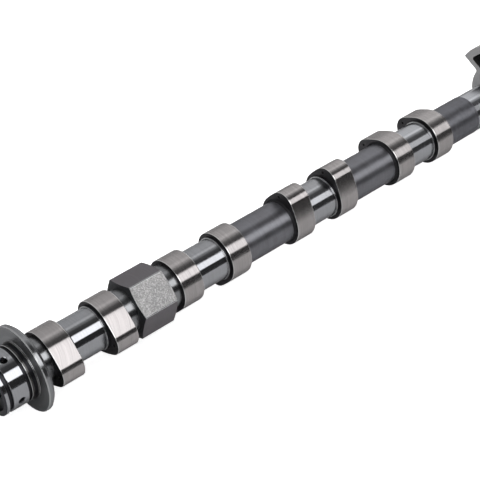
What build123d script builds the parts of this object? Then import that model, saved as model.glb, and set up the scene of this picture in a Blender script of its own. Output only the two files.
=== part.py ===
from build123d import *
from math import cos, pi, radians, sin, sqrt, tan
import os

os.makedirs("parts", exist_ok=True)

# Camshaft of a four-cylinder engine with two camshafts, in millimetres.
# The shaft turns about X. X = 0 is the front face of the thrust flange, and the nose points to -X.
# Angles are measured about X, from +Y toward +Z.

# Engine layout
cylinder_pitch = 92.0
valve_spacing = 38.1
first_journal_center = 39.6
firing_order = (1, 3, 4, 2)
cam_phase = 187.0
crank_step = 90.0

# Lobes
lobe_width = 14.9
base_radius = 16.7
lobe_lift = 5.3
nose_radius = 10.0
flank_radius = 69.0
lobe_edge = 0.35

# Shaft between the lobes
journal_radius = 13.5
collar_radius = 14.2
collar_width = 1.5
neck_radius = 14.0
barrel_radius = 13.7
cast_root = 1.2

# Spanner hexagon
hexagon_across_flats = 34.7
hexagon_length = 24.8
hexagon_angle = 13.0
hexagon_chamfer_angle = 17.0
blank_allowance = 0.5

# Thrust flange
flange_radius = 27.0
flange_thickness = 4.6
flange_front_edge = 0.6
flange_back_edge = 2.0
boss_radius = 18.1
boss_height = 0.9

# Front journal, from the nose end back to the flange
front_radius = 17.5
nose_edge = 0.5
nose_land_width = 2.7
front_groove_width = 2.5
bearing_land_width = 10.2
rear_groove_width = 1.9
rear_land_width = 1.7
relief_width = 2.0
groove_depth = 1.4
relief_depth = 0.6
groove_edge = 0.25

# Oil and bolt holes in the nose
oil_hole_radius = 2.0
oil_hole_edge = 0.5
oil_hole_count = 4
oil_hole_angle = 10.0
recess_radius = 14.2
recess_depth = 3.0
recess_edge = 0.5
chamber_radius = 8.0
chamber_run_out = 1.5
bolt_hole_radius = 5.4
bolt_hole_length = 30.0
bolt_hole_edge = 1.2
drill_point_angle = 118.0

# Locating pin
pin_radius = 2.5
pin_circle_radius = 11.2
pin_angle = 97.0
pin_stand_out = 6.0
pin_press_depth = 8.0
pin_edge = 0.6
pin_hole_clearance = 0.5

# Rear journal and far end
rear_journal_gap = 30.0
rear_journal_length = 36.0
end_boss_radius = 11.0
end_boss_length = 6.0
end_boss_edge = 0.8
center_drill_radius = 3.0
center_drill_angle = 60.0
center_pilot_radius = 1.0
center_pilot_depth = 1.5

# Sensor wheel
wheel_radius = 37.9
wheel_hub_radius = 23.8
wheel_thickness = 9.0
wheel_edge = 0.4
wheel_root_fillet = 1.5
wide_teeth = ((28.0, 82.0), (98.0, 152.0))
narrow_teeth = ((214.0, 242.0), (298.0, 326.0))
pocket_wall = 4.3
pocket_outer_radius = 32.5
pocket_inner_radius = 21.0
pocket_depth = 5.5
pocket_corner = 1.7
pocket_taper = 3.0

# Stations along the shaft, worked out from the sizes above
rear_land_start = -(relief_width + boss_height + rear_land_width)
rear_groove_start = rear_land_start - rear_groove_width
bearing_land_start = rear_groove_start - bearing_land_width
front_groove_start = bearing_land_start - front_groove_width
nose_end = front_groove_start - nose_land_width
recess_floor = nose_end + recess_depth
oil_hole_station = bearing_land_start + bearing_land_width / 2
chamber_end = oil_hole_station + oil_hole_radius + chamber_run_out
bolt_hole_end = chamber_end + bolt_hole_length
hexagon_center = first_journal_center + cylinder_pitch / 2
pair_length = valve_spacing + lobe_width
pair_starts = [first_journal_center + cylinder_pitch * n - pair_length / 2 for n in range(4)]
shaft_front = pair_starts[0]
last_lobe_end = pair_starts[3] + pair_length
rear_journal_start = last_lobe_end + rear_journal_gap
wheel_start = rear_journal_start + rear_journal_length
wheel_end = wheel_start + wheel_thickness
far_end = wheel_end + end_boss_length
center_cone_depth = (center_drill_radius - center_pilot_radius) / tan(radians(center_drill_angle / 2))


def nose_angle(cylinder):
    """Direction of the lobe noses of one cylinder, from its place in the firing order."""
    return cam_phase - crank_step * firing_order.index(cylinder)


def cross_plane(station, angle):
    """Plane across the shaft at a station, facing +X, its own X pointing out at the angle."""
    outward = (0, cos(radians(angle)), sin(radians(angle)))
    return Plane(origin=(station, 0, 0), x_dir=outward, z_dir=(1, 0, 0))


def turned(start, end, radius):
    """Add a turned length of shaft between two stations."""
    with BuildSketch(Plane.YZ.offset(start)) as section:
        Circle(radius)
    extrude(section.sketch, amount=end - start)


def cut_groove(start, width, depth):
    """Cut a square groove with broken corners round the front journal."""
    end = start + width
    floor = front_radius - depth
    rim = front_radius + groove_edge
    with BuildSketch(Plane.XY) as profile:
        with BuildLine():
            Polyline(
                (start, floor),
                (start, front_radius - groove_edge),
                (start - 2 * groove_edge, rim),
                (end + 2 * groove_edge, rim),
                (end, front_radius - groove_edge),
                (end, floor),
                close=True,
            )
        make_face()
    revolve(profile.sketch, axis=Axis.X, mode=Mode.SUBTRACT)


# Lobe, nose toward +Y, front face at X = 0
nose_center = base_radius + lobe_lift - nose_radius
base_reach = flank_radius - base_radius
nose_reach = flank_radius - nose_radius
flank_y = (base_reach**2 - nose_reach**2 + nose_center**2) / (2 * nose_center)
flank_z = sqrt(base_reach**2 - flank_y**2)
base_tangent = (-flank_y * base_radius / base_reach, flank_z * base_radius / base_reach)
nose_tangent = (
    nose_center + (nose_center - flank_y) * nose_radius / nose_reach,
    flank_z * nose_radius / nose_reach,
)

with BuildPart() as lobe:
    with BuildSketch(Plane.YZ):
        with BuildLine():
            ThreePointArc((-base_radius, 0), (base_radius * cos(0.6 * pi), base_radius * sin(0.6 * pi)),
                          base_tangent)
            RadiusArc(base_tangent, nose_tangent, flank_radius)
            ThreePointArc(nose_tangent, (nose_center + nose_radius * cos(radians(30)),
                                         nose_radius * sin(radians(30))),
                          (nose_center + nose_radius, 0))
            mirror(about=Plane.XZ)
        make_face()
    extrude(amount=lobe_width)
    chamfer(lobe.faces().filter_by(Axis.X).edges(), lobe_edge)

# Hexagon, front face at X = 0, cut from a turned blank with chamfered ends
flat_radius = hexagon_across_flats / 2
blank_radius = flat_radius / cos(radians(30)) + blank_allowance
chamfer_width = blank_radius - flat_radius

with BuildPart() as hexagon:
    with BuildSketch(Plane.YZ):
        Circle(blank_radius)
    extrude(amount=hexagon_length)
    chamfer(
        hexagon.faces().sort_by(Axis.X)[0].edges() + hexagon.faces().sort_by(Axis.X)[-1].edges(),
        length=chamfer_width * tan(radians(hexagon_chamfer_angle)),
        length2=chamfer_width,
    )
    with BuildSketch(cross_plane(0, hexagon_angle)):
        RegularPolygon(flat_radius, 6, major_radius=False, rotation=30)
    extrude(amount=hexagon_length, mode=Mode.INTERSECT)

# Sensor wheel, front face at X = 0, with a cast pocket in each wide tooth
with BuildPart() as wheel:
    with BuildSketch(Plane.YZ) as wheel_outline:
        Circle(wheel_hub_radius)
        for tooth_start, tooth_end in wide_teeth + narrow_teeth:
            with BuildLine():
                Line((0, 0), (wheel_radius * cos(radians(tooth_start)), wheel_radius * sin(radians(tooth_start))))
                CenterArc((0, 0), wheel_radius, tooth_start, tooth_end - tooth_start)
                Line((0, 0), (wheel_radius * cos(radians(tooth_end)), wheel_radius * sin(radians(tooth_end))))
            make_face()
        roots = [
            corner for corner in wheel_outline.vertices()
            if abs((corner.X**2 + corner.Y**2) ** 0.5 - wheel_hub_radius) < 0.01
        ]
        fillet(roots, wheel_root_fillet)
    extrude(amount=wheel_thickness)
    chamfer(wheel.faces().filter_by(Axis.X).edges(), wheel_edge)
    for tooth_start, tooth_end in wide_teeth:
        half_span = radians(tooth_end - tooth_start) / 2
        apex = pocket_wall / sin(half_span)
        reach = 2 * wheel_radius
        with BuildSketch(cross_plane(0, (tooth_start + tooth_end) / 2)) as pocket:
            Circle(pocket_outer_radius)
            Circle(pocket_inner_radius, mode=Mode.SUBTRACT)
            with BuildLine():
                Polyline(
                    (apex, 0),
                    (apex + reach * cos(half_span), reach * sin(half_span)),
                    (apex + reach * cos(half_span), -reach * sin(half_span)),
                    close=True,
                )
            make_face(mode=Mode.INTERSECT)
            fillet(pocket.vertices(), pocket_corner)
        extrude(amount=pocket_depth, taper=pocket_taper, mode=Mode.SUBTRACT)

# Camshaft: one casting, turned and ground
with BuildPart() as camshaft:
    turned(nose_end, 0, front_radius)
    chamfer(camshaft.faces().sort_by(Axis.X)[0].edges(), nose_edge)
    cut_groove(front_groove_start, front_groove_width, groove_depth)
    cut_groove(rear_groove_start, rear_groove_width, groove_depth)
    cut_groove(rear_land_start + rear_land_width, relief_width, relief_depth)
    turned(-boss_height, 0, boss_radius)

    with BuildSketch(Plane.XY):
        with BuildLine():
            Polyline(
                (0, 0),
                (0, flange_radius - flange_front_edge),
                (flange_front_edge, flange_radius),
                (flange_thickness - flange_back_edge, flange_radius),
                (flange_thickness, flange_radius - flange_back_edge),
                (flange_thickness, 0),
                close=True,
            )
        make_face()
    revolve(axis=Axis.X)

    turned(flange_thickness, shaft_front, neck_radius)
    for start in pair_starts:
        journal_start = start + lobe_width
        journal_end = start + valve_spacing
        turned(journal_start, journal_end, journal_radius)
        turned(journal_start, journal_start + collar_width, collar_radius)
        turned(journal_end - collar_width, journal_end, collar_radius)
    turned(pair_starts[0] + pair_length, pair_starts[1], neck_radius)
    turned(pair_starts[1] + pair_length, pair_starts[2], barrel_radius)
    turned(pair_starts[2] + pair_length, pair_starts[3], barrel_radius)
    turned(last_lobe_end, rear_journal_start, barrel_radius)
    turned(rear_journal_start, wheel_end, journal_radius)
    turned(wheel_end, far_end, end_boss_radius)
    chamfer(camshaft.faces().sort_by(Axis.X)[-1].edges(), end_boss_edge)

    for number, start in enumerate(pair_starts, 1):
        for lobe_start in (start, start + valve_spacing):
            with Locations(Location((lobe_start, 0, 0), (nose_angle(number), 0, 0))):
                add(lobe.part)
    with Locations((hexagon_center - hexagon_length / 2, 0, 0)):
        add(hexagon.part)
    with Locations((wheel_start, 0, 0)):
        add(wheel.part)

    # Cast root where a barrel meets the side of a lobe
    roots = [
        edge for edge in camshaft.edges().filter_by(GeomType.CIRCLE)
        if abs(edge.radius - barrel_radius) < 0.01
        and min(abs(edge.center().X - (start + side)) for start in pair_starts for side in (0, pair_length)) < 0.01
    ]
    chamfer(roots, cast_root)

    # Recess, oil chamber and bolt hole in the nose, bored as one turned profile
    with BuildSketch(Plane.XY):
        with BuildLine():
            Polyline(
                (nose_end, 0),
                (nose_end, recess_radius + recess_edge),
                (nose_end + recess_edge, recess_radius),
                (recess_floor, recess_radius),
                (recess_floor, chamber_radius),
                (chamber_end, chamber_radius),
                (chamber_end, bolt_hole_radius + bolt_hole_edge),
                (chamber_end + bolt_hole_edge, bolt_hole_radius),
                (bolt_hole_end, bolt_hole_radius),
                (bolt_hole_end + bolt_hole_radius / tan(radians(drill_point_angle / 2)), 0),
                close=True,
            )
        make_face()
    revolve(axis=Axis.X, mode=Mode.SUBTRACT)

    # Centre drilling in the far end
    with BuildSketch(Plane.XY):
        with BuildLine():
            Polyline(
                (far_end, 0),
                (far_end, center_drill_radius),
                (far_end - center_cone_depth, center_pilot_radius),
                (far_end - center_cone_depth - center_pilot_depth, center_pilot_radius),
                (far_end - center_cone_depth - center_pilot_depth, 0),
                close=True,
            )
        make_face()
    revolve(axis=Axis.X, mode=Mode.SUBTRACT)

    # Blind hole for the locating pin
    with BuildSketch(cross_plane(recess_floor, pin_angle)):
        with Locations((pin_circle_radius, 0)):
            Circle(pin_radius)
    extrude(amount=pin_press_depth + pin_hole_clearance, mode=Mode.SUBTRACT)

    # Radial oil holes through the bearing land, each with a broken edge
    for n in range(oil_hole_count):
        direction = oil_hole_angle + n * 360 / oil_hole_count
        hole_plane = Plane(
            origin=(oil_hole_station, 0, 0),
            x_dir=(1, 0, 0),
            z_dir=(0, cos(radians(direction)), sin(radians(direction))),
        )
        with BuildSketch(hole_plane):
            Circle(oil_hole_radius)
        extrude(amount=front_radius + 1, mode=Mode.SUBTRACT)
        with BuildSketch(hole_plane.offset(front_radius - oil_hole_edge)):
            Circle(oil_hole_radius)
        extrude(amount=2 * oil_hole_edge, taper=-45, mode=Mode.SUBTRACT)

camshaft.part.label = "camshaft"
export_step(camshaft.part, "parts/camshaft.step")

# Locating pin, pressed into the floor of the recess
with BuildPart() as locating_pin:
    with BuildSketch(cross_plane(recess_floor - pin_stand_out, pin_angle)):
        with Locations((pin_circle_radius, 0)):
            Circle(pin_radius)
    extrude(amount=pin_stand_out + pin_press_depth)
    chamfer(locating_pin.faces().filter_by(Axis.X).edges(), pin_edge)

locating_pin.part.label = "locating_pin"
export_step(locating_pin.part, "parts/locating_pin.step")
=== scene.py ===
import bpy
import bmesh
from functools import partial
from math import atan2, cos, degrees, pi, radians, sin, sqrt, tan
from mathutils import Matrix, Vector


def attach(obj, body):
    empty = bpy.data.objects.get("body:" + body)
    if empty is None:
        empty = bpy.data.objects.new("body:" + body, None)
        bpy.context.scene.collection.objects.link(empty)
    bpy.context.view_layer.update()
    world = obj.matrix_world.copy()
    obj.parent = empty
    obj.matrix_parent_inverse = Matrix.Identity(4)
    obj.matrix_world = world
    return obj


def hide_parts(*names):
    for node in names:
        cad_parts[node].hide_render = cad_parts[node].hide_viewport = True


# Camshaft of a four-cylinder engine, lying along X with its nose to -X.
# Angles run about X from +Y toward +Z. Dictionaries hold millimetres and degrees, Blender holds metres.
mm = 0.001
mergeReach = 1e-6  # metres; closer points become one

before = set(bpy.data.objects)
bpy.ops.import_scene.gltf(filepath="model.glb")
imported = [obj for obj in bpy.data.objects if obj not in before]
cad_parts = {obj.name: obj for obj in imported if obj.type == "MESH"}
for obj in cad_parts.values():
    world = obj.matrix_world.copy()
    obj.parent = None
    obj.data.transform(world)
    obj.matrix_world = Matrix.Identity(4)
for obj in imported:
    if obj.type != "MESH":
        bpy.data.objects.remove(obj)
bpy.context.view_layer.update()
print("stage: frame loaded:", ", ".join(sorted(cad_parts)))


# Helpers for node trees

# Adds a node; each input is a plain value or another node's socket
def put(tree, kind, inputs=None, **settings):
    node = tree.nodes.new(kind)
    for name, value in settings.items():
        setattr(node, name, value)
    for key, value in (inputs or {}).items():
        if isinstance(value, bpy.types.NodeSocket):
            tree.links.new(value, node.inputs[key])
        else:
            node.inputs[key].default_value = value
    return node


def calc(tree, operation, *values):
    return put(tree, "ShaderNodeMath", dict(enumerate(values)), operation=operation).outputs[0]


# Add, subtract, multiply and divide, ready for one tree
def arithmetic(tree):
    return [partial(calc, tree, operation) for operation in ("ADD", "SUBTRACT", "MULTIPLY", "DIVIDE")]


def vectorCalc(tree, operation, *values):
    node = put(tree, "ShaderNodeVectorMath", dict(enumerate(values)), operation=operation)
    return node.outputs["Value" if operation == "LENGTH" else "Vector"]


def scaled(tree, vector, factor):
    node = put(tree, "ShaderNodeVectorMath", {0: vector, "Scale": factor}, operation="SCALE")
    return node.outputs["Vector"]


def point(tree, x=0.0, y=0.0, z=0.0):
    return put(tree, "ShaderNodeCombineXYZ", {0: x, 1: y, 2: z}).outputs[0]


def split(tree, vector):
    return put(tree, "ShaderNodeSeparateXYZ", {0: vector}).outputs


def mapped(tree, value, low, high, toLow=0.0, toHigh=1.0, way="LINEAR"):
    return put(tree, "ShaderNodeMapRange", {
        "Value": value, "From Min": low, "From Max": high, "To Min": toLow, "To Max": toHigh},
        interpolation_type=way).outputs[0]


smoothStep = partial(mapped, way="SMOOTHSTEP")


def choose(tree, condition, whenTrue, otherwise):
    return put(tree, "GeometryNodeSwitch", {
        "Switch": condition, "True": whenTrue, "False": otherwise}, input_type="FLOAT").outputs[0]


def pointValue(tree, name):
    return put(tree, "GeometryNodeInputNamedAttribute", {"Name": name}, data_type="FLOAT").outputs[0]


def newGeometryTree(name, sizes):
    tree = bpy.data.node_groups.new(name, "GeometryNodeTree")
    tree.interface.new_socket("Geometry", in_out="INPUT", socket_type="NodeSocketGeometry")
    for label, kind in sizes.items():
        tree.interface.new_socket(label, in_out="INPUT", socket_type="NodeSocket" + kind)
    tree.interface.new_socket("Geometry", in_out="OUTPUT", socket_type="NodeSocketGeometry")
    return tree, tree.nodes.new("NodeGroupInput").outputs


# A grid of rings and spokes, with the number of the ring and the spoke at each of its points
def ringGrid(tree, rings, segments):
    add, subtract, multiply, divide = arithmetic(tree)
    columns = add(segments, 1)
    grid = put(tree, "GeometryNodeMeshGrid", {"Vertices X": rings, "Vertices Y": columns})
    index = put(tree, "GeometryNodeInputIndex").outputs[0]
    ring = calc(tree, "FLOOR", divide(add(index, 0.5), columns))
    return grid.outputs[0], ring, subtract(index, multiply(ring, columns))


# Moves a grid's points to their station, radius and angle, and joins its first and last spoke
def sweep(tree, grid, station, radius, angle):
    around = [calc(tree, "MULTIPLY", radius, calc(tree, side, angle)) for side in ("COSINE", "SINE")]
    moved = put(tree, "GeometryNodeSetPosition", {
        "Geometry": grid, "Position": point(tree, station, *around)})
    return put(tree, "GeometryNodeMergeByDistance", {
        "Geometry": moved.outputs[0], "Distance": mergeReach}).outputs[0]


def repeat(tree, places, shape, rotation):
    spots = put(tree, "GeometryNodeMeshToPoints", {0: places})
    return put(tree, "GeometryNodeInstanceOnPoints", {
        "Points": spots.outputs[0], "Instance": shape, "Rotation": rotation}).outputs[0]


# The end of every tree: real meshes with their material
def deliver(tree, shape, material):
    real = put(tree, "GeometryNodeRealizeInstances", {0: shape})
    painted = put(tree, "GeometryNodeSetMaterial", {"Geometry": real.outputs[0], "Material": material})
    put(tree, "NodeGroupOutput", {0: painted.outputs[0]})
    return tree


# Runs a geometry tree on a few points and keeps the result as a plain mesh object
def grow(name, tree, values, points=((0, 0, 0),), edges=(), attributes=None):
    seed = bpy.data.meshes.new(name + "Seed")
    seed.from_pydata(points, edges, [])
    for label, numbers in (attributes or {}).items():
        seed.attributes.new(label, "FLOAT", "POINT").data.foreach_set("value", numbers)
    seedObject = bpy.data.objects.new(name + "Seed", seed)
    bpy.context.scene.collection.objects.link(seedObject)
    modifier = seedObject.modifiers.new(name, "NODES")
    modifier.node_group = tree
    for item in tree.interface.items_tree:
        if item.in_out == "INPUT" and item.name in values:
            modifier[item.identifier] = values[item.name]
    bpy.context.view_layer.update()
    mesh = evaluatedMesh(seedObject)
    seedObject.modifiers.remove(modifier)
    bpy.data.objects.remove(seedObject)
    mesh.name = name
    return newPiece(name, mesh)


def evaluatedMesh(piece):
    return bpy.data.meshes.new_from_object(piece.evaluated_get(bpy.context.evaluated_depsgraph_get()))


def newPiece(name, mesh):
    piece = bpy.data.objects.new(name, mesh)
    bpy.context.scene.collection.objects.link(piece)
    return piece


# Merges doubles and points the faces outward
def tidyMesh(piece):
    work = bmesh.new()
    work.from_mesh(piece.data)
    bmesh.ops.remove_doubles(work, verts=work.verts, dist=mergeReach)
    bmesh.ops.dissolve_degenerate(work, edges=work.edges, dist=mergeReach)
    bmesh.ops.recalc_face_normals(work, faces=work.faces)
    openEdges = sum(not edge.is_manifold for edge in work.edges)
    work.to_mesh(piece.data)
    work.free()
    print("stage:", piece.name, len(piece.data.polygons), "faces,", openEdges, "open edges")
    return piece


# Turned shapes: a profile of (station, radius, corner rounding) swept round the axis

def turnedTree():
    tree, ask = newGeometryTree("turnedShape", {
        "Segments": "Int", "Corner Facets": "Int", "Material": "Material"})
    multiply, divide = arithmetic(tree)[2:]
    curve = put(tree, "GeometryNodeMeshToCurve", {0: ask["Geometry"]})
    rounded = put(tree, "GeometryNodeFilletCurve", {
        "Curve": curve.outputs[0], "Count": ask["Corner Facets"], "Radius": pointValue(tree, "rounding"),
        "Limit Radius": True}, mode="POLY").outputs[0]
    size = put(tree, "GeometryNodeAttributeDomainSize", {0: rounded}, component="CURVE")
    grid, ring, spoke = ringGrid(tree, size.outputs["Point Count"], ask["Segments"])
    place = put(tree, "GeometryNodeInputPosition").outputs[0]
    sample = put(tree, "GeometryNodeSampleIndex", {
        "Geometry": rounded, "Value": place, "Index": ring}, data_type="FLOAT_VECTOR", domain="POINT")
    station, radius, _ = split(tree, sample.outputs[0])
    angle = multiply(divide(spoke, ask["Segments"]), 2 * pi)
    return deliver(tree, sweep(tree, grid, station, radius, angle), ask["Material"])


turnedShape = turnedTree()


def turn(name, profile, material, segments=180, cornerFacets=3):
    points = [(station * mm, radius * mm, 0) for station, radius, _ in profile]
    edges = [(n, n + 1) for n in range(len(points) - 1)]
    return tidyMesh(grow(name, turnedShape, {
        "Segments": segments, "Corner Facets": cornerFacets, "Material": material},
        points, edges, {"rounding": [rounding * mm for _, _, rounding in profile]}))


# Finishes

def newFinish(name):
    material = bpy.data.materials.new(name)
    material.use_nodes = True
    tree = material.node_tree
    return material, tree, next(node for node in tree.nodes if node.type == "BSDF_PRINCIPLED")


# Direction across the tool marks: along the shaft on a turned side, outward on a turned face
def roundTangent(tree, fromAxis):
    around = vectorCalc(tree, "NORMALIZE", vectorCalc(tree, "CROSS_PRODUCT", (1, 0, 0), fromAxis))
    normal = put(tree, "ShaderNodeNewGeometry").outputs["Normal"]
    return vectorCalc(tree, "NORMALIZE", vectorCalc(tree, "CROSS_PRODUCT", normal, around))


# One finish of the casting; lines and bands are tool marks round the shaft, grain is the cast or etched skin
def metal(name, color, roughness, spread=0.0, lines=1.0, linePitch=0.25, lineDepth=0.003, grain=0.0,
          grainSize=0.4, blotch=0.12, blotchSize=9.0, tint=(0.97, 1.0, 1.03), metallic=1.0, speckle=0.0,
          speckleSize=0.55, speckleColor=(0.46, 0.455, 0.45), bands=0.12, bandPitch=1.1, edgeShade=0.55):
    material, tree, shader = newFinish(name)
    add, subtract, multiply = arithmetic(tree)[:3]
    place = put(tree, "ShaderNodeTexCoord").outputs["Object"]
    fromAxis = vectorCalc(tree, "MULTIPLY", place, (0, 1, 1))
    x, y, z = split(tree, place)
    across = add(x, vectorCalc(tree, "LENGTH", fromAxis))
    lineSpot = point(tree, multiply(across, 1 / (linePitch * mm)), multiply(y, 60.0), multiply(z, 60.0))

    def noise(spot, scale, detail, **more):
        inputs = {"Vector": spot, "Scale": scale, "Detail": detail, **more}
        return put(tree, "ShaderNodeTexNoise", inputs).outputs[0]

    toolMarks = noise(lineSpot, 1.0, 2.0)
    wideMarks = noise(scaled(tree, lineSpot, linePitch / bandPitch), 1.0, 3.0)
    cloud = noise(place, 1 / (blotchSize * mm), 3.0)
    # Colour: base, cooler or warmer in clouds, lighter and darker along the tool marks
    shade = add(1 - blotch / 2 - 0.05 * lines, multiply(cloud, blotch))
    shade = add(shade, multiply(toolMarks, 0.1 * lines))
    shade = add(shade, multiply(subtract(wideMarks, 0.5), bands * 2))
    cool = [c * t for c, t in zip(color, tint)]
    base = put(tree, "ShaderNodeMix", {"Factor": cloud, "A": (*color, 1), "B": (*cool, 1)}, data_type="RGBA")
    shown = scaled(tree, base.outputs["Result"], shade)
    # Light dots mixed into the colour: painted glints
    if speckle:
        cells = put(tree, "ShaderNodeTexVoronoi", {"Vector": place, "Scale": 1 / (speckleSize * mm)})
        dice = put(tree, "ShaderNodeSeparateColor", {0: cells.outputs["Color"]})
        dotted = put(tree, "ShaderNodeMix", {
            "Factor": mapped(tree, dice.outputs[0], 0.35, 1.0, 0.0, speckle), "A": shown,
            "B": (*speckleColor, 1)}, data_type="RGBA")
        shown = dotted.outputs["Result"]
    tree.links.new(shown, shader.inputs["Base Color"])
    # Roughness: satin with patches that are a little duller
    dull = mapped(tree, cloud, 0.3, 0.7, roughness * 0.92, roughness * 1.08)
    tree.links.new(dull, shader.inputs["Roughness"])
    # Relief: tool marks, then grain over them
    relief = put(tree, "ShaderNodeBump", {
        "Strength": 1.0, "Distance": lineDepth * mm * lines, "Height": toolMarks}).outputs[0]
    if grain:
        skin = noise(place, 1 / (grainSize * mm), 4.0, Roughness=0.6)
        relief = put(tree, "ShaderNodeBump", {
            "Strength": 1.0, "Distance": grain * mm, "Height": skin, "Normal": relief}).outputs[0]
    tree.links.new(relief, shader.inputs["Normal"])
    shader.inputs["Metallic"].default_value = metallic
    shader.inputs["Specular Tint"].default_value = (edgeShade, edgeShade, edgeShade, 1)
    if spread:
        shader.inputs["Anisotropic"].default_value = spread
        tree.links.new(roundTangent(tree, fromAxis), shader.inputs["Tangent"])
    return material


finishes = {
    "lobeGround": dict(color=(0.29, 0.278, 0.279), roughness=0.25, spread=1.0, linePitch=0.18,
                       tint=(1.02, 1.0, 0.99), bands=0.24, bandPitch=0.9, blotch=0.2),
    "journalGround": dict(color=(0.275, 0.275, 0.285), roughness=0.14, spread=1.0, linePitch=0.15,
                          bands=0.16, bandPitch=0.9, blotch=0.2),
    # Lighter than the metal it edges: a painted highlight along rounded edges
    "groundEdge": dict(color=(0.5, 0.49, 0.48), roughness=0.25, lines=0.4),
    "sideDark": dict(color=(0.055, 0.053, 0.055), roughness=0.42, lines=0.6, linePitch=0.5, grain=0.03,
                     blotch=0.6, bands=0.4),
    "collarTurned": dict(color=(0.05, 0.05, 0.055), roughness=0.35, spread=0.7, linePitch=0.3),
    "barrelSatin": dict(color=(0.15, 0.148, 0.158), roughness=0.38, spread=0.6, linePitch=0.35,
                        blotch=0.4, blotchSize=5.0, grain=0.006, bands=0.14, bandPitch=1.3),
    "barrelCast": dict(color=(0.125, 0.124, 0.134), roughness=0.42, spread=0.5, linePitch=0.35,
                       blotch=0.6, blotchSize=3.0, grain=0.014, bands=0.14, bandPitch=1.3),
    "neckTurned": dict(color=(0.2, 0.2, 0.205), roughness=0.26, spread=0.8, linePitch=0.3),
    # Near black, darker than the barrel and the lobe side it joins: painted shade in the root fillet
    "castRoot": dict(color=(0.02, 0.02, 0.021), roughness=0.5, grain=0.02, lines=0.4),
    # Lighter and dotted with light specks: a blasted skin, with the lit tone and glints of the flat facing
    # the soft box painted in
    "hexEtched": dict(color=(0.2, 0.195, 0.195), roughness=0.5, lines=0.2, grain=0.02, speckle=0.8,
                      speckleSize=0.46),
    "hexSmooth": dict(color=(0.15, 0.14, 0.147), roughness=0.42, lines=0.2, grain=0.006, blotch=0.2),
    "hexEnd": dict(color=(0.03, 0.03, 0.032), roughness=0.5, grain=0.02, metallic=0.6),
    "flangeFace": dict(color=(0.18, 0.18, 0.185), roughness=0.3, spread=0.9, linePitch=0.3, bands=0.2),
    # Lighter than the metal it edges: a painted highlight along rounded edges and steps
    "softEdge": dict(color=(0.33, 0.33, 0.33), roughness=0.25, lines=0.4),
    "landTurned": dict(color=(0.075, 0.072, 0.07), roughness=0.32, spread=0.7, linePitch=0.3),
    "flangeRim": dict(color=(0.2, 0.2, 0.205), roughness=0.25, spread=0.9, linePitch=0.3),
    # Near black: painted shade in the narrow grooves
    "grooveDark": dict(color=(0.03, 0.03, 0.033), roughness=0.42, linePitch=0.3, spread=0.5),
    "wheelFace": dict(color=(0.30, 0.295, 0.295), roughness=0.42, spread=0.5, linePitch=0.3, grain=0.004),
    "wheelSide": dict(color=(0.14, 0.14, 0.143), roughness=0.45, grain=0.01),
    # Near black: darker cast skin with painted shade in the pockets
    "pocketDark": dict(color=(0.02, 0.02, 0.02), roughness=0.55, grain=0.05, metallic=0.4),
    # Painted shade inside the bores, holes and the nose recess
    "boreDark": dict(color=(0.05, 0.05, 0.053), roughness=0.42, linePitch=0.3),
    # Near black: painted shade in the punch dents
    "punchDark": dict(color=(0.008, 0.008, 0.008), roughness=0.6, grain=0.02),
    "pinSteel": dict(color=(0.42, 0.42, 0.43), roughness=0.22, spread=0.6, linePitch=0.15),
}
metals = {name: metal(name, **look) for name, look in finishes.items()}
print("stage:", len(metals), "finishes")


# The shaft itself

shaft = {
    "noseEnd": -21.9, "noseRadius": 17.5, "noseEdge": 0.5,
    "frontGroove": (-19.2, -16.7), "rearGroove": (-6.5, -4.6), "relief": (-2.9, -0.9),
    "grooveDepth": 1.4, "reliefDepth": 0.6, "grooveEdge": 0.25,
    "recessRadius": 14.2, "recessDepth": 3.0,
    "chamberRadius": 8.0, "chamberEnd": -8.1,
    "boltRadius": 5.4, "boltEnd": 21.9, "boltEdge": 1.2, "drillPoint": 118.0,
    "bossRadius": 18.1,
    "flangeRadius": 27.0, "flangeThickness": 4.6, "flangeFrontEdge": 0.6, "flangeBackEdge": 2.0,
    "neckRadius": 14.0, "journalRadius": 13.5, "collarRadius": 14.2, "collarWidth": 1.5, "barrelRadius": 13.7,
    "castRoot": 1.2, "rootStep": 0.02,
    "pairStarts": (13.05, 105.05, 197.05, 289.05), "valveSpacing": 38.1, "lobeWidth": 14.9,
    "rearJournal": 372.05, "wheelStart": 408.05, "wheelEnd": 417.05,
    "endRadius": 11.0, "farEnd": 423.05, "endEdge": 0.8,
    "centerRadius": 3.0, "pilotRadius": 1.0, "centerAngle": 60.0, "pilotDepth": 1.5,
}
pairLength = shaft["valveSpacing"] + shaft["lobeWidth"]


def noseProfile(s):
    recessFloor = s["noseEnd"] + s["recessDepth"]
    tip = s["boltRadius"] / tan(radians(s["drillPoint"] / 2))
    return [
        (s["boltEnd"] + tip, 0, 0),
        (s["boltEnd"], s["boltRadius"], 0),
        (s["chamberEnd"] + s["boltEdge"], s["boltRadius"], 0.1),
        (s["chamberEnd"], s["boltRadius"] + s["boltEdge"], 0),
        (s["chamberEnd"], s["chamberRadius"], 0.3),
        (recessFloor, s["chamberRadius"], 0.15),
        (recessFloor, s["recessRadius"], 0.3),
        (s["noseEnd"] + s["noseEdge"], s["recessRadius"], 0.15),
        (s["noseEnd"], s["recessRadius"] + s["noseEdge"], 0.15),
        (s["noseEnd"], s["noseRadius"] - s["noseEdge"], 0.2),
        (s["noseEnd"] + s["noseEdge"], s["noseRadius"], 0.2),
    ]


def grooveProfile(s, ends, depth):
    start, end = ends
    rim, edge = s["noseRadius"], s["grooveEdge"]
    return [
        (start - edge, rim, 0.15), (start, rim - edge, 0.1), (start, rim - depth, 0.2),
        (end, rim - depth, 0.2), (end, rim - edge, 0.1), (end + edge, rim, 0.15),
    ]


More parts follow.
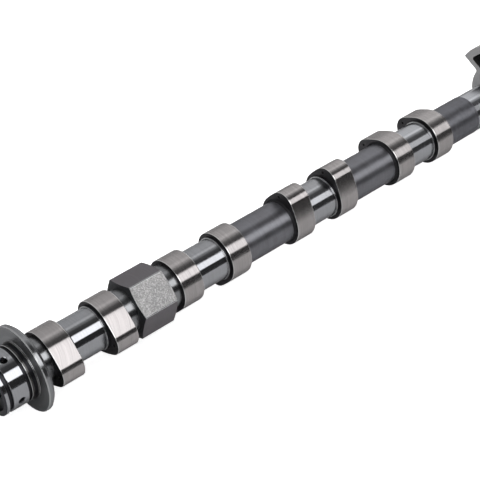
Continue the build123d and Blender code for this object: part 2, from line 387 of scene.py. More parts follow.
def flangeProfile(s):
    return [
        (s["relief"][1], s["bossRadius"], 0.15), (0, s["bossRadius"], 0.2),
        (0, s["flangeRadius"] - s["flangeFrontEdge"], 0.1),
        (s["flangeFrontEdge"], s["flangeRadius"], 0.1),
        (s["flangeThickness"] - s["flangeBackEdge"], s["flangeRadius"], 0.5),
        (s["flangeThickness"], s["flangeRadius"] - s["flangeBackEdge"], 0.6),
        (s["flangeThickness"], s["neckRadius"], 0.5),
    ]


# From the middle of one lobe to the middle of the next, with the shaft in front of them and behind
def pairProfile(s, start, radiusBefore, radiusAfter):
    journalStart, journalEnd = start + s["lobeWidth"], start + s["valveSpacing"]
    firstMiddle, lastMiddle = start + s["lobeWidth"] / 2, journalEnd + s["lobeWidth"] / 2
    end = start + pairLength
    root, step = s["castRoot"], s["rootStep"]
    if radiusBefore == s["barrelRadius"]:
        profile = [(start - step - root, radiusBefore, 1.0), (start - step, radiusBefore + root, 0),
                   (firstMiddle - 1, radiusBefore + root, 0), (firstMiddle - 1, s["collarRadius"], 0)]
    else:
        profile = [(firstMiddle, radiusBefore, 0), (firstMiddle, s["collarRadius"], 0)]
    profile += [(journalStart + s["collarWidth"], s["collarRadius"], 0.2),
                (journalStart + s["collarWidth"], s["journalRadius"], 0.2),
                (journalEnd - s["collarWidth"], s["journalRadius"], 0.2),
                (journalEnd - s["collarWidth"], s["collarRadius"], 0.2),
                (lastMiddle, s["collarRadius"], 0)]
    if radiusAfter == s["barrelRadius"]:
        return profile + [(lastMiddle, radiusAfter + root, 0), (end + step, radiusAfter + root, 0),
                          (end + step + root, radiusAfter, 1.0)]
    return profile + [(lastMiddle, radiusAfter, 0)]


def endProfile(s):
    wheelMiddle = (s["wheelStart"] + s["wheelEnd"]) / 2
    coneEnd = s["farEnd"] - (s["centerRadius"] - s["pilotRadius"]) / tan(radians(s["centerAngle"] / 2))
    return [
        (s["rearJournal"], s["barrelRadius"], 0.1), (s["rearJournal"], s["journalRadius"], 0.1),
        (wheelMiddle, s["journalRadius"], 0), (wheelMiddle, s["endRadius"], 0),
        (s["farEnd"] - s["endEdge"], s["endRadius"], 0.4), (s["farEnd"], s["endRadius"] - s["endEdge"], 0.4),
        (s["farEnd"], s["centerRadius"], 0.1), (coneEnd, s["pilotRadius"], 0),
        (coneEnd - s["pilotDepth"], s["pilotRadius"], 0), (coneEnd - s["pilotDepth"], 0, 0),
    ]


def shaftProfile(s):
    profile = noseProfile(s)
    profile += grooveProfile(s, s["frontGroove"], s["grooveDepth"])
    profile += grooveProfile(s, s["rearGroove"], s["grooveDepth"])
    profile += grooveProfile(s, s["relief"], s["reliefDepth"])[:4]
    profile += flangeProfile(s)
    between = (s["neckRadius"], s["neckRadius"], s["barrelRadius"], s["barrelRadius"], s["barrelRadius"])
    for start, radiusBefore, radiusAfter in zip(s["pairStarts"], between, between[1:]):
        profile += pairProfile(s, start, radiusBefore, radiusAfter)
    return profile + endProfile(s)


casting = turn("camshaftCasting", shaftProfile(shaft), metals["barrelSatin"])


# The eight lobes: one cam rule, placed by firing order

lobe = {
    "baseRadius": 16.7, "lift": 5.3, "noseRadius": 10.0, "flankRadius": 69.0, "width": 14.9, "edge": 0.35,
    "segments": 240, "edgeFacets": 4,
    "firingOrder": (1, 3, 4, 2), "phase": 187.0, "step": 90.0,
}


def camTree():
    tree, ask = newGeometryTree("camLobes", {
        "Base Radius": "Float", "Lift": "Float", "Nose Radius": "Float", "Flank Radius": "Float",
        "Width": "Float", "Edge": "Float", "Segments": "Int", "Edge Facets": "Int", "Material": "Material"})
    add, subtract, multiply, divide = arithmetic(tree)
    cosine, sine, root, lower, larger, angleOf = [partial(calc, tree, operation) for operation in (
        "COSINE", "SINE", "SQRT", "MINIMUM", "MAXIMUM", "ARCTAN2")]
    base, nose, flank = ask["Base Radius"], ask["Nose Radius"], ask["Flank Radius"]

    def square(value):
        return calc(tree, "POWER", value, 2.0)

    # How far from the axis a circle lies, seen at an angle
    def circleReach(centerY, centerZ, radius, angle):
        toward = add(multiply(centerY, cosine(angle)), multiply(centerZ, sine(angle)))
        away = add(square(centerY), square(centerZ))
        return add(toward, root(subtract(add(square(radius), square(toward)), away)))

    # The flank circle holds the base circle and the nose circle, and touches both
    noseCenter = subtract(add(base, ask["Lift"]), nose)
    baseReach, noseReach = subtract(flank, base), subtract(flank, nose)
    squares = add(subtract(square(baseReach), square(noseReach)), square(noseCenter))
    flankY = divide(squares, multiply(noseCenter, 2.0))
    flankZ = root(subtract(square(baseReach), square(flankY)))
    noseShare = divide(nose, noseReach)
    baseAngle = angleOf(flankZ, multiply(flankY, -1.0))
    noseAngle = angleOf(multiply(flankZ, noseShare),
                        add(noseCenter, multiply(subtract(noseCenter, flankY), noseShare)))

    # Rings across the lobe and spokes round it; both ends close on the axis
    rings = add(multiply(ask["Edge Facets"], 2), 4)
    grid, ring, spoke = ringGrid(tree, rings, ask["Segments"])
    angle = multiply(divide(spoke, ask["Segments"]), 2 * pi)
    halfTurn = calc(tree, "ABSOLUTE", calc(tree, "WRAP", angle, pi, -pi))
    onFlank = circleReach(flankY, multiply(flankZ, -1.0), flank, halfTurn)
    onNose = circleReach(noseCenter, 0.0, nose, halfTurn)
    pastNose = choose(tree, calc(tree, "LESS_THAN", halfTurn, noseAngle), onNose, onFlank)
    reach = choose(tree, calc(tree, "LESS_THAN", baseAngle, halfTurn), base, pastNose)

    # Rounded edge: rings 1 to facets + 1 climb the front edge, and the rest mirror them
    last = subtract(rings, 1)
    fromNear = lower(ring, subtract(last, ring))
    climb = multiply(larger(divide(subtract(fromNear, 1), ask["Edge Facets"]), 0.0), pi / 2)
    inset = multiply(ask["Edge"], subtract(1.0, sine(climb)))
    depth = multiply(ask["Edge"], subtract(1.0, cosine(climb)))
    farSide = calc(tree, "GREATER_THAN", ring, multiply(last, 0.5))
    station = choose(tree, farSide, subtract(ask["Width"], depth), depth)
    radius = multiply(subtract(reach, inset), calc(tree, "GREATER_THAN", fromNear, 0.5))
    shape = sweep(tree, grid, station, radius, angle)
    placed = repeat(tree, ask["Geometry"], shape, point(tree, pointValue(tree, "noseAngle")))
    return deliver(tree, placed, ask["Material"])


lobePlaces = []
for number, pairStart in enumerate(shaft["pairStarts"], 1):
    facing = lobe["phase"] - lobe["step"] * lobe["firingOrder"].index(number)
    lobePlaces += [(pairStart, facing, number), (pairStart + shaft["valveSpacing"], facing, number)]

lobes = tidyMesh(grow("lobes", camTree(), {
    "Base Radius": lobe["baseRadius"] * mm, "Lift": lobe["lift"] * mm, "Nose Radius": lobe["noseRadius"] * mm,
    "Flank Radius": lobe["flankRadius"] * mm, "Width": lobe["width"] * mm, "Edge": lobe["edge"] * mm,
    "Segments": lobe["segments"], "Edge Facets": lobe["edgeFacets"], "Material": metals["lobeGround"]},
    points=[(station * mm, 0, 0) for station, _, _ in lobePlaces],
    attributes={"noseAngle": [radians(facing) for _, facing, _ in lobePlaces]}))


# Booleans between finished shells

fewestFaces = 100  # a join that leaves fewer has failed


def combine(target, tool, operation):
    modifier = target.modifiers.new("join", "BOOLEAN")
    modifier.object = tool
    modifier.operation = operation
    modifier.solver = "MANIFOLD"
    bpy.context.view_layer.update()
    mesh = evaluatedMesh(target)
    target.modifiers.remove(modifier)
    if len(mesh.polygons) < fewestFaces:
        print("stage: join failed with", tool.name)
    target.data = mesh
    bpy.data.objects.remove(tool)
    return target


def solidFrom(name, work, material):
    mesh = bpy.data.meshes.new(name)
    bmesh.ops.recalc_face_normals(work, faces=work.faces)
    work.to_mesh(mesh)
    work.free()
    mesh.materials.append(material)
    return newPiece(name, mesh)


# Adds a prism along X between two stations; the outline is a list of (y, z) in millimetres
def plate(work, outline, low, high):
    rings = [[work.verts.new((station * mm, y * mm, z * mm)) for y, z in outline] for station in (low, high)]
    work.faces.new(rings[0])
    work.faces.new(reversed(rings[1]))
    for n in range(len(outline)):
        after = (n + 1) % len(outline)
        work.faces.new((rings[0][n], rings[0][after], rings[1][after], rings[1][n]))
    return rings


# The spanner hexagon, cut from a turned blank with chamfered ends

hexagon = {
    "start": 73.2, "length": 24.8, "acrossFlats": 34.7, "angle": 13.0, "chamferAngle": 17.0,
    "allowance": 0.5, "cornerBreak": 0.25, "cornerCrown": 0.35,
    # The flat facing the soft box gets a lighter, dotted finish: painted light over a blasted skin
    "etchedLitFlat": 133.0, "etchedLitWithin": 20.0, "edgeFrom": 4.0, "paintFrom": 14.5,
}


def makeHexagon(h):
    flat = h["acrossFlats"] / 2
    corner = flat / cos(radians(30))
    blank = corner + h["allowance"]
    slope = (blank - flat) * tan(radians(h["chamferAngle"]))
    end = h["start"] + h["length"]
    body = turn("hexagonBlank", [
        (h["start"], 0, 0), (h["start"], flat, 0), (h["start"] + slope, blank, 0),
        (end - slope, blank, 0), (end, flat, 0), (end, 0, 0)], metals["hexSmooth"], segments=120)
    outline = []
    for n in range(6):
        middle = radians(h["angle"] + 30 + 60 * n)
        for side in (-1, 0, 1):
            around = middle + side * 2 * h["cornerBreak"] / corner
            reach = corner - h["cornerBreak"] * (1 + h["cornerCrown"] * abs(side))
            outline.append((reach * cos(around), reach * sin(around)))
    work = bmesh.new()
    plate(work, outline, h["start"] - 2, end + 2)
    return combine(body, solidFrom("hexagonFlats", work, metals["hexSmooth"]), "INTERSECT")


# The sensor wheel: hub, two wide teeth with cast pockets and two narrow teeth

wheel = {
    "radius": 37.9, "hubRadius": 23.8, "edge": 0.4, "rootRound": 1.5,
    "wideTeeth": ((28.0, 82.0), (98.0, 152.0)), "narrowTeeth": ((214.0, 242.0), (298.0, 326.0)),
    "pocketWall": 4.3, "pocketOuter": 32.5, "pocketInner": 21.0, "pocketDepth": 5.5, "pocketCorner": 1.7,
    "pocketTaper": 3.0, "pocketFloorRound": 0.6, "footSpan": 3.0, "footGap": 1.5,
}


def onCircle(radius, angle):
    return radius * cos(radians(angle)), radius * sin(radians(angle))


def arcPoints(radius, start, end, step=2.0):
    count = max(2, int(abs(end - start) / step) + 1)
    return [onCircle(radius, start + (end - start) * n / (count - 1)) for n in range(count)]


# Points of an arc that rounds one corner of a flat outline
def roundCorner(before, corner, after, radius, facets=5):
    one = (Vector(before) - Vector(corner)).normalized()
    two = (Vector(after) - Vector(corner)).normalized()
    half = one.angle(two) / 2
    reach = radius / tan(half)
    center = Vector(corner) + (one + two).normalized() * radius / sin(half)
    spokeStart = Vector(corner) + one * reach - center
    spokeEnd = Vector(corner) + two * reach - center
    sweepAngle = spokeStart.angle_signed(spokeEnd)
    points = []
    for n in range(facets + 1):
        spoke = spokeStart.copy()
        spoke.rotate(Matrix.Rotation(-sweepAngle * n / facets, 2))
        points.append(tuple(center + spoke))
    return points


def wheelOutline(w):
    teeth = sorted(w["wideTeeth"] + w["narrowTeeth"])
    hub, tip, fillet, span = w["hubRadius"], w["radius"], w["rootRound"], w["footSpan"]
    shift = degrees(fillet / hub) * 1.05
    outline = []
    for n, (start, end) in enumerate(teeth):
        after = teeth[n + 1][0] if n + 1 < len(teeth) else teeth[0][0] + 360
        outline += arcPoints(tip, start, end)
        outline += roundCorner(onCircle(tip, end), onCircle(hub, end), onCircle(hub, end + span), fillet)
        outline += arcPoints(hub, end + shift + w["footGap"], after - shift - w["footGap"])
        outline += roundCorner(
            onCircle(hub, after - span), onCircle(hub, after), onCircle(tip, after), fillet)
    return outline


# Outline of a pocket round +Y: two arcs and two walls parallel to the tooth's sides, with round corners
def pocketOutline(w, half):
    apex = w["pocketWall"] / sin(half)
    ends = []
    for radius in (w["pocketInner"], w["pocketOuter"]):
        reach = sqrt(radius ** 2 - (apex * sin(half)) ** 2) - apex * cos(half)
        ends.append(degrees(atan2(reach * sin(half), apex + reach * cos(half))))
    narrow, wide = ends
    outer = arcPoints(w["pocketOuter"], -wide, wide, 1.5)
    inner = arcPoints(w["pocketInner"], narrow, -narrow, 1.5)
    corners = {0: (inner[-1], outer[2]), len(outer) - 1: (outer[-3], inner[0]),
               len(outer): (outer[-1], inner[2]), len(outer + inner) - 1: (inner[-3], outer[0])}
    loop = outer + inner
    outline = []
    for n, spot in enumerate(loop):
        if n in corners:
            outline += roundCorner(corners[n][0], spot, corners[n][1], w["pocketCorner"])
        elif all((Vector(spot) - Vector(loop[m])).length > w["pocketCorner"] * 1.1 for m in corners):
            outline.append(spot)
    return outline


def pocketCutter(w, s, start, end):
    outline = [Vector(spot) for spot in pocketOutline(w, radians(end - start) / 2)]
    middle = radians((start + end) / 2)
    center = sum(outline, Vector((0, 0))) / len(outline)

    # The outline pulled inward and turned to its tooth
    def drawn(inset):
        spots = []
        for spot in outline:
            away = spot - center
            spots.append(center + away * (1 - inset / away.length))
        return [(p.x * cos(middle) - p.y * sin(middle), p.x * sin(middle) + p.y * cos(middle)) for p in spots]

    low, high = s["wheelStart"] - 0.5, s["wheelStart"] + w["pocketDepth"]
    work = bmesh.new()
    rings = plate(work, drawn(0), low, high)
    for vert, (y, z) in zip(rings[1], drawn(w["pocketDepth"] * tan(radians(w["pocketTaper"])))):
        vert.co = (high * mm, y * mm, z * mm)
    floorEdges = [edge for edge in work.edges if all(vert.co.x > (high - 0.01) * mm for vert in edge.verts)]
    bmesh.ops.bevel(work, geom=floorEdges, offset=w["pocketFloorRound"] * mm, segments=3, profile=0.5,
                    affect="EDGES")
    return solidFrom("pocketCutter", work, metals["pocketDark"])


def makeWheel(w, s):
    work = bmesh.new()
    plate(work, wheelOutline(w), s["wheelStart"], s["wheelEnd"])
    bmesh.ops.recalc_face_normals(work, faces=work.faces)
    rims = [edge for edge in work.edges if abs(edge.verts[0].co.x - edge.verts[1].co.x) < mergeReach / 10]
    bmesh.ops.bevel(work, geom=rims, offset=w["edge"] * mm, segments=3, profile=0.5, affect="EDGES")
    body = solidFrom("sensorWheel", work, metals["wheelFace"])
    for start, end in w["wideTeeth"]:
        body = combine(body, pocketCutter(w, s, start, end), "DIFFERENCE")
    return body


combine(casting, lobes, "UNION")
combine(casting, makeHexagon(hexagon), "UNION")
combine(casting, makeWheel(wheel, shaft), "UNION")
print("stage: casting joined,", len(casting.data.polygons), "faces")


# Drillings: oil holes, punch marks and the pin's hole, each one turned tool cut at its places

def drillTree():
    tree, ask = newGeometryTree("drillSet", {"Tool": "Object", "Material": "Material"})
    tool = put(tree, "GeometryNodeObjectInfo", {"Object": ask["Tool"]})
    heading = point(tree, *(pointValue(tree, "aim" + axis) for axis in "XYZ"))
    facing = put(tree, "FunctionNodeAlignRotationToVector", {"Vector": heading}, axis="X")
    placed = repeat(tree, ask["Geometry"], tool.outputs["Geometry"], facing.outputs[0])
    return deliver(tree, placed, ask["Material"])


drillSet = drillTree()


# A place is a point and the direction that it is drilled in
def drill(name, profile, places, segments=32):
    tool = turn(name + "Tool", profile, metals["boreDark"], segments=segments, cornerFacets=2)
    cutter = grow(name, drillSet, {"Tool": tool, "Material": metals["boreDark"]},
                  points=[tuple(c * mm for c in spot) for spot, _ in places],
                  attributes={"aim" + axis: [aim[n] for _, aim in places] for n, axis in enumerate("XYZ")})
    bpy.data.objects.remove(tool)
    combine(casting, tidyMesh(cutter), "DIFFERENCE")


oilHoles = {
    "station": -11.6, "radius": 2.0, "edge": 0.5, "count": 4, "angle": 10.0, "inner": 5.0, "runOut": 2.0,
}
punchMarks = {
    "radius": 0.9, "flare": 0.3, "tip": 0.45, "depth": 0.75, "start": -0.5, "circle": 17.8,
    "offsets": {1: 0, 2: 0, 3: -13, 4: 11}, "paintRadius": 1.3, "paintDepth": 1.2,
}
pin = {
    "radius": 2.5, "circle": 11.2, "angle": 97.0, "standOut": 6.0, "pressDepth": 8.0, "edge": 0.6,
    "clearance": 0.5, "floor": -18.9,
}

rimReach = shaft["noseRadius"] - oilHoles["edge"]
flare = oilHoles["edge"] + oilHoles["runOut"]
drill("oilHoles", [
    (oilHoles["inner"], 0, 0), (oilHoles["inner"], oilHoles["radius"], 0),
    (rimReach, oilHoles["radius"], 0.15),
    (rimReach + flare, oilHoles["radius"] + flare, 0), (rimReach + flare, 0, 0)],
    [((oilHoles["station"], 0, 0), (0, *onCircle(1, oilHoles["angle"] + n * 360 / oilHoles["count"])))
     for n in range(oilHoles["count"])], segments=48)

punchSpots = [
    (station, *onCircle(punchMarks["circle"], facing + punchMarks["offsets"][number]))
    for station, facing, number in lobePlaces]
drill("punchMarks", [
    (punchMarks["start"], 0, 0), (punchMarks["start"], punchMarks["radius"] + punchMarks["flare"], 0),
    (punchMarks["depth"], punchMarks["tip"], 0.15), (punchMarks["depth"] + 0.1, 0, 0)],
    [(spot, (1, 0, 0)) for spot in punchSpots], segments=24)

pinSpot = onCircle(pin["circle"], pin["angle"])
pinHoleDepth = pin["pressDepth"] + pin["clearance"] + 1
drill("pinHole", [
    (0, 0, 0), (0, pin["radius"], 0), (pinHoleDepth, pin["radius"], 0), (pinHoleDepth + 0.2, 0, 0)],
    [((pin["floor"] - 1, *pinSpot), (1, 0, 0))], segments=48)


# The bolt's thread: a three-sided tooth wound along the bore and cut out of it

thread = {
    "start": -8.6, "end": 19.5, "pitch": 1.25, "innerRadius": 5.2, "outerRadius": 6.05, "width": 1.05,
    "segments": 40,
}


def threadTree():
    tree, ask = newGeometryTree("boltThread", {
        "Start": "Float", "End": "Float", "Pitch": "Float", "Inner Radius": "Float", "Outer Radius": "Float",
        "Width": "Float", "Segments": "Int", "Material": "Material"})
    add, subtract, multiply, divide = arithmetic(tree)
    turns = divide(subtract(ask["End"], ask["Start"]), ask["Pitch"])
    count = calc(tree, "ROUND", multiply(turns, ask["Segments"]))
    grid, step, corner = ringGrid(tree, count, 3)
    turned = divide(step, ask["Segments"])
    # Corners 0 and 3 sit at the front of the tooth, 1 at its crest and 2 at its back
    atCrest = calc(tree, "COMPARE", corner, 1.0, 0.1)
    atBack = calc(tree, "COMPARE", corner, 2.0, 0.1)
    reach = choose(tree, atCrest, ask["Outer Radius"], ask["Inner Radius"])
    shift = multiply(add(multiply(atCrest, 0.5), atBack), ask["Width"])
    along = add(ask["Start"], add(shift, multiply(turned, ask["Pitch"])))
    return deliver(tree, sweep(tree, grid, along, reach, multiply(turned, 2 * pi)), ask["Material"])


threadTool = grow("boltThread", threadTree(), {
    "Start": thread["start"] * mm, "End": thread["end"] * mm, "Pitch": thread["pitch"] * mm,
    "Inner Radius": thread["innerRadius"] * mm, "Outer Radius": thread["outerRadius"] * mm,
    "Width": thread["width"] * mm, "Segments": thread["segments"], "Material": metals["boreDark"]})
work = bmesh.new()
work.from_mesh(threadTool.data)
bmesh.ops.holes_fill(work, edges=[edge for edge in work.edges if edge.is_boundary], sides=4)
work.to_mesh(threadTool.data)
work.free()
combine(casting, tidyMesh(threadTool), "DIFFERENCE")
print("stage: drilled,", len(casting.data.polygons), "faces")


# Finish of every face, by where it lies: from station, to station, from radius, to radius, lean, finish.
# The lean is how far a face looks along the shaft, from 0 on a turned side to 1 on a flat end.

anyLean = (-0.01, 1.01)
flatEnd = (0.97, 1.01)
turnedSide = (-0.01, 0.1)


def lobeZones(start):
    low, high = start - 0.1, start + lobe["width"] + 0.1
    return [
        (low, high, 15.2, 30, flatEnd, "sideDark"),
        # Rounded lobe edges: painted edge highlight
        (low, high, 15.2, 30, (0.12, 0.97), "groundEdge"),
        (low, high, 15.2, 30, (-0.01, 0.12), "lobeGround"),
        (low, high, 13.9, 15.3, flatEnd, "sideDark"),
    ]


def pairZones(s, start):
    journalStart, journalEnd = start + s["lobeWidth"], start + s["valveSpacing"]
    collar = s["collarWidth"] + 0.05
    zones = lobeZones(start) + lobeZones(start + s["valveSpacing"])
    zones += [
        # Collar steps: painted edge highlight
        (journalStart, journalStart + collar, 13.45, 14.4, (0.08, 1.01), "softEdge"),
        (journalEnd - collar, journalEnd, 13.45, 14.4, (0.08, 1.01), "softEdge"),
        (journalStart, journalEnd, 14.1, 14.4, turnedSide, "collarTurned"),
        (journalStart, journalEnd, 13.3, 13.6, (-0.01, 0.3), "journalGround"),
    ]
    # Root fillets at both ends of the pair: painted shade in the crease
    for end in (start, start + pairLength):
        zones.append((end - 1.3, end + 1.3, 13.75, 15.3, (0.05, 1.01), "castRoot"))
    return zones


def noseZones(s):
    frontLand, bearingLand, rearLand = s["frontGroove"][0], s["frontGroove"][1], s["rearGroove"][1]
    zones = [
        (-30, s["noseEnd"] + 0.6, 13.8, 18, anyLean, "collarTurned"),
        (-30, frontLand - 0.02, 17.3, 18, (-0.01, 0.3), "journalGround"),
    ]
    # Grooves and relief: painted shade
    for ends in (s["frontGroove"], s["rearGroove"], s["relief"]):
        zones.append((*ends, 16, 17.6, anyLean, "grooveDark"))
    zones += [
        # Rear land edges: painted edge highlight
        (rearLand, s["relief"][0], 17.3, 18, (0.08, 1.01), "softEdge"),
        (rearLand, s["relief"][0], 17.3, 18, (-0.01, 0.08), "landTurned"),
        (bearingLand, s["relief"][0], 17.3, 18, anyLean, "journalGround"),
        # Boss edge: painted edge highlight
        (-1.0, 0.02, 17.95, 18.2, (0.08, 0.95), "softEdge"),
        (-1.0, 0.02, 16.8, 18.2, anyLean, "landTurned"),
        # Flange front chamfer: painted edge highlight
        (-0.1, s["flangeFrontEdge"] + 0.05, 26.2, 27.1, (0.08, 0.95), "softEdge"),
        (-0.1, 0.3, 18.0, 27.1, (0.7, 1.01), "flangeFace"),
        (0, s["flangeThickness"] + 0.1, 14.2, 27.1, flatEnd, "flangeFace"),
        (0, s["flangeThickness"] + 0.1, 14.2, 27.1, (-0.01, 0.97), "flangeRim"),
        (s["flangeThickness"] - 0.1, s["pairStarts"][0], 13.9, 14.6, anyLean, "neckTurned"),
        # Inside the bore, chamber and recess: painted shade
        (-30, 26, 0, 14.3, anyLean, "boreDark"),
    ]
    return zones


def wheelZones(s, w):
    low, high = s["wheelStart"] - 0.1, s["wheelEnd"] + 0.1
    return [
        # Pockets near black past their first 0.45 mm: darker cast skin and painted shade; the lighter strip
        # left at the rim is a painted highlight
        (s["wheelStart"] + 0.45, s["wheelStart"] + w["pocketDepth"] + 0.05, 20, 33.2, anyLean, "pocketDark"),
        (low, high, 0, 40, flatEnd, "wheelFace"),
        # Rounded wheel edges: painted edge highlight
        (low, high, 13.6, 40, (0.1, 0.97), "groundEdge"),
        (low, high, 37, 40, turnedSide, "wheelFace"),
        (low, high, 13.6, 37, turnedSide, "wheelSide"),
    ]


def shaftZones(s, w, h):
    zones = [zone for start in s["pairStarts"] for zone in pairZones(s, start)]
    firstEnd, lastEnd = s["pairStarts"][0] + pairLength, s["pairStarts"][3] + pairLength
    zones += [
        (firstEnd, s["pairStarts"][1], 13.9, 14.1, anyLean, "neckTurned"),
        (lastEnd, s["rearJournal"], 13.5, 13.9, (-0.01, 0.3), "barrelCast"),
        (h["start"] - 0.1, h["start"] + h["length"] + 0.1, 14.1, 21, (0.1, 1.01), "hexEnd"),
    ]
    zones += noseZones(s)
    zones.append((s["rearJournal"], s["wheelStart"], 13.4, 13.8, anyLean, "journalGround"))
    return zones + wheelZones(s, w)


def flatFinish(normal, h):
    facing = degrees(atan2(normal.z, normal.y))
    # Hexagon corner breaks: painted edge highlight
    if abs((facing - h["angle"] + 30) % 60 - 30) > h["edgeFrom"]:
        return "softEdge"
    # The flat facing the soft box: lighter tone and light dots painted as its light, over a blasted skin
    return "hexEtched" if abs(facing - h["etchedLitFlat"]) < h["etchedLitWithin"] else "hexSmooth"


def faceFinish(face, zones, plain):
    x, y, z = (c / mm for c in face.center)
    radius, lean = sqrt(y * y + z * z), abs(face.normal.x)
    # Punch dents: painted shade
    painted, deep = punchMarks["paintRadius"], punchMarks["paintDepth"]
    if any(0.01 < x - px < deep and (y - py) ** 2 + (z - pz) ** 2 < painted ** 2
           for px, py, pz in punchSpots):
        return "punchDark"
    for low, high, inner, outer, (least, most), finish in zones:
        if low <= x <= high and inner <= radius <= outer and least <= lean <= most:
            break
    else:
        alongHexagon = hexagon["start"] < x < hexagon["start"] + hexagon["length"]
        onHexagon = alongHexagon and radius > hexagon["paintFrom"]
        return flatFinish(face.normal, hexagon) if onHexagon else plain
    # Flared mouths of the oil holes: painted highlight
    besideHole = abs(x - oilHoles["station"]) < oilHoles["radius"] + oilHoles["edge"]
    inFlare = besideHole and rimReach < radius < shaft["noseRadius"] - 0.02
    return "groundEdge" if inFlare and finish == "boreDark" else finish


def paint(piece, zones, plain):
    mesh = piece.data
    order = list(metals)
    mesh.materials.clear()
    for material in metals.values():
        mesh.materials.append(material)
    for face in mesh.polygons:
        face.material_index = order.index(faceFinish(face, zones, plain))


def shadeSmooth(piece, sharpAngle=35.0):
    mesh = piece.data
    mesh.polygons.foreach_set("use_smooth", [True] * len(mesh.polygons))
    mesh.set_sharp_from_angle(angle=radians(sharpAngle))
    modifier = piece.modifiers.new("weights", "WEIGHTED_NORMAL")
    modifier.keep_sharp = True
    modifier.weight = 80
    bpy.context.view_layer.update()
    result = evaluatedMesh(piece)
    piece.modifiers.remove(modifier)
    piece.data = result
    result.name = piece.name


paint(casting, shaftZones(shaft, wheel, hexagon), "barrelSatin")
shadeSmooth(casting)
triangles = sum(len(face.vertices) - 2 for face in casting.data.polygons)
print("stage: casting painted,", triangles, "triangles")


# The locating pin, ground, with rounded chamfers

pinStart, pinEnd = pin["floor"] - pin["standOut"], pin["floor"] + pin["pressDepth"]
pinPiece = turn("locatingPin", [
    (pinStart, 0, 0),
    (pinStart, pin["radius"] - pin["edge"], 0.2), (pinStart + pin["edge"], pin["radius"], 0.3),
    (pinEnd - pin["edge"], pin["radius"], 0.3), (pinEnd, pin["radius"] - pin["edge"], 0.2),
    (pinEnd, 0, 0)], metals["pinSteel"], segments=64)
for vert in pinPiece.data.vertices:
    vert.co.y += pinSpot[0] * mm
    vert.co.z += pinSpot[1] * mm
shadeSmooth(pinPiece)

for piece, node, slotName in ((casting, "camshaft", "cast_iron"), (pinPiece, "locating_pin", "pin_steel")):
    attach(piece, "root")
    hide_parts(node)


# Floor: it touches the flange's rim and the wheel's two narrow teeth

floorPlan = {
    "nearX": 2.0, "nearZ": -27.0, "farX": 412.6, "farZ": -33.46, "size": 20.0, "glow": 0.78, "paint": 0.9,
}


def makeFloor(f):
    slope = (f["farZ"] - f["nearZ"]) / (f["farX"] - f["nearX"])
    corners = []
    for x, y in ((-1, -1), (1, -1), (1, 1), (-1, 1)):
        along = x * f["size"]
        corners.append((along, y * f["size"], f["nearZ"] * mm + slope * (along - f["nearX"] * mm)))
    mesh = bpy.data.meshes.new("floor")
    mesh.from_pydata(corners, [], [(0, 1, 2, 3)])
    material, tree, shader = newFinish("paleFloor")
    mesh.materials.append(material)
    place = put(tree, "ShaderNodeTexCoord").outputs["Object"]
    fibres = put(tree, "ShaderNodeTexNoise", {"Vector": place, "Scale": 40.0}).outputs[0]
    tree.links.new(mapped(tree, fibres, 0.0, 1.0, f["paint"], f["paint"] + 0.02), shader.inputs["Base Color"])
    shader.inputs["Roughness"].default_value = 0.9
    shader.inputs["Specular IOR Level"].default_value = 0.0
    shader.inputs["Emission Color"].default_value = (1, 1, 1, 1)
    # White paper, overexposed for the camera as in a product photograph, so that its shadow stays faint
    seen = put(tree, "ShaderNodeLightPath").outputs["Is Camera Ray"]
    tree.links.new(calc(tree, "MULTIPLY", seen, f["glow"]), shader.inputs["Emission Strength"])
    newPiece("floor", mesh)


makeFloor(floorPlan)


# Studio: a soft box high on the camera's side, a pale wall behind, dark between them.
# Rise is a ray's angle about the shaft, and lean is how far it tips along the shaft.

studio = {
    "levels": ((0, 0.85), (50, 0.85), (58, 0.75), (66, 1.1), (73, 1.15), (79, 0.5), (87, 0.35), (93, 0.13),
               (110, 0.10), (148, 0.06), (174, 0.05), (180, 0.15)),
    "boxLow": 114.3, "boxHigh": 148.0, "boxSlant": 4.2, "slantFrom": 0.42, "slantTo": 0.56,
    "boxPower": 3.8, "boxFrom": 0.38, "boxTo": 1.05, "boxFeather": 1.5,
    "overheadHalf": 32.0, "overheadFeather": 8.0, "overheadLean": 0.9, "overheadFade": 1.3,
    "overheadPower": 1.75,
    "patchFrom": 0.5, "patchPeak": 1.0, "patchTo": 2.0, "patchPower": 1.3,
}


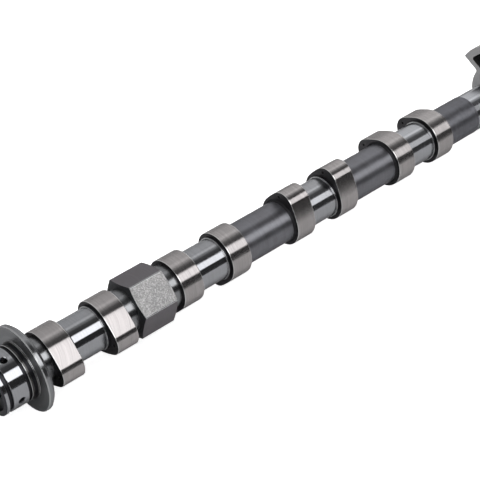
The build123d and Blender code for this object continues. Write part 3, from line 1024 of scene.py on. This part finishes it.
def makeStudio(s):
    world = bpy.data.worlds.new("studio")
    bpy.context.scene.world = world
    world.use_nodes = True
    tree = world.node_tree
    tree.nodes.clear()
    add, subtract, multiply, divide = arithmetic(tree)
    x, y, z = split(tree, put(tree, "ShaderNodeTexCoord").outputs["Generated"])
    rise = multiply(calc(tree, "ARCTAN2", z, y), 180 / pi)
    upright = calc(tree, "SQRT", add(calc(tree, "POWER", y, 2.0), calc(tree, "POWER", z, 2.0)))
    lean = divide(x, upright)

    # The wall's levels, and one patch of it that is brightest and is seen by the rear half of the shaft
    ramp = put(tree, "ShaderNodeValToRGB", {"Fac": divide(rise, 180.0)})
    elements = ramp.color_ramp.elements
    while len(elements) < len(s["levels"]):
        elements.new(0.5)
    for element, (angle, level) in zip(elements, s["levels"]):
        element.position = angle / 180
        element.color = (level, level, level, 1)
    patchNear = smoothStep(tree, lean, s["patchFrom"], s["patchPeak"])
    patchFar = smoothStep(tree, lean, s["patchTo"], s["patchPeak"])
    patch = multiply(multiply(patchNear, patchFar), s["patchPower"])
    wall = scaled(tree, ramp.outputs[0], add(patch, 1.0))

    # The soft box
    slant = mapped(tree, lean, s["slantFrom"], s["slantTo"], 0.0, s["boxSlant"])
    feather = s["boxFeather"]
    lowEdge = smoothStep(tree, subtract(rise, slant), s["boxLow"] - feather, s["boxLow"] + feather)
    highEdge = smoothStep(tree, rise, s["boxHigh"] + feather, s["boxHigh"] - feather)
    fade = smoothStep(tree, lean, s["boxTo"], s["boxFrom"])
    box = multiply(multiply(multiply(lowEdge, highEdge), fade), s["boxPower"])
    lit = put(tree, "ShaderNodeBackground", {
        "Color": vectorCalc(tree, "ADD", wall, point(tree, box, box, box)), "Strength": 1.0})

    # The floor is lit by a bank straight above, so its shadow under the part shows in the metal
    fromAbove = calc(tree, "ABSOLUTE", subtract(rise, 90.0))
    half, soft = s["overheadHalf"], s["overheadFeather"]
    bankWide = smoothStep(tree, fromAbove, half + soft, half - soft)
    reach = s["overheadLean"]
    bankLong = smoothStep(tree, calc(tree, "ABSOLUTE", lean), reach * s["overheadFade"], reach)
    above = put(tree, "ShaderNodeBackground", {
        "Color": (1, 1, 1, 1), "Strength": multiply(multiply(bankWide, bankLong), s["overheadPower"])})

    white = put(tree, "ShaderNodeBackground", {"Color": (1, 1, 1, 1), "Strength": 1.0})
    rays = put(tree, "ShaderNodeLightPath").outputs
    byRay = put(tree, "ShaderNodeMixShader", {
        0: rays["Is Diffuse Ray"], 1: lit.outputs[0], 2: above.outputs[0]})
    mixed = put(tree, "ShaderNodeMixShader", {
        0: rays["Is Camera Ray"], 1: byRay.outputs[0], 2: white.outputs[0]})
    put(tree, "ShaderNodeOutputWorld", {0: mixed.outputs[0]})


makeStudio(studio)


# Camera at the photograph's angle

view = {"place": (-0.26571, -0.47916, 0.53847), "turn": (50.2206, 0.0, -41.82), "lens": 101.977}
camera = bpy.data.objects.new("camera", bpy.data.cameras.new("camera"))
camera.location = view["place"]
camera.rotation_euler = [radians(angle) for angle in view["turn"]]
camera.data.lens = view["lens"]
camera.data.sensor_width = 36.0
camera.data.clip_end = 100.0
bpy.context.scene.collection.objects.link(camera)
bpy.context.scene.camera = camera
bpy.context.scene.view_settings.view_transform = "Standard"
print("stage: camera and studio ready")
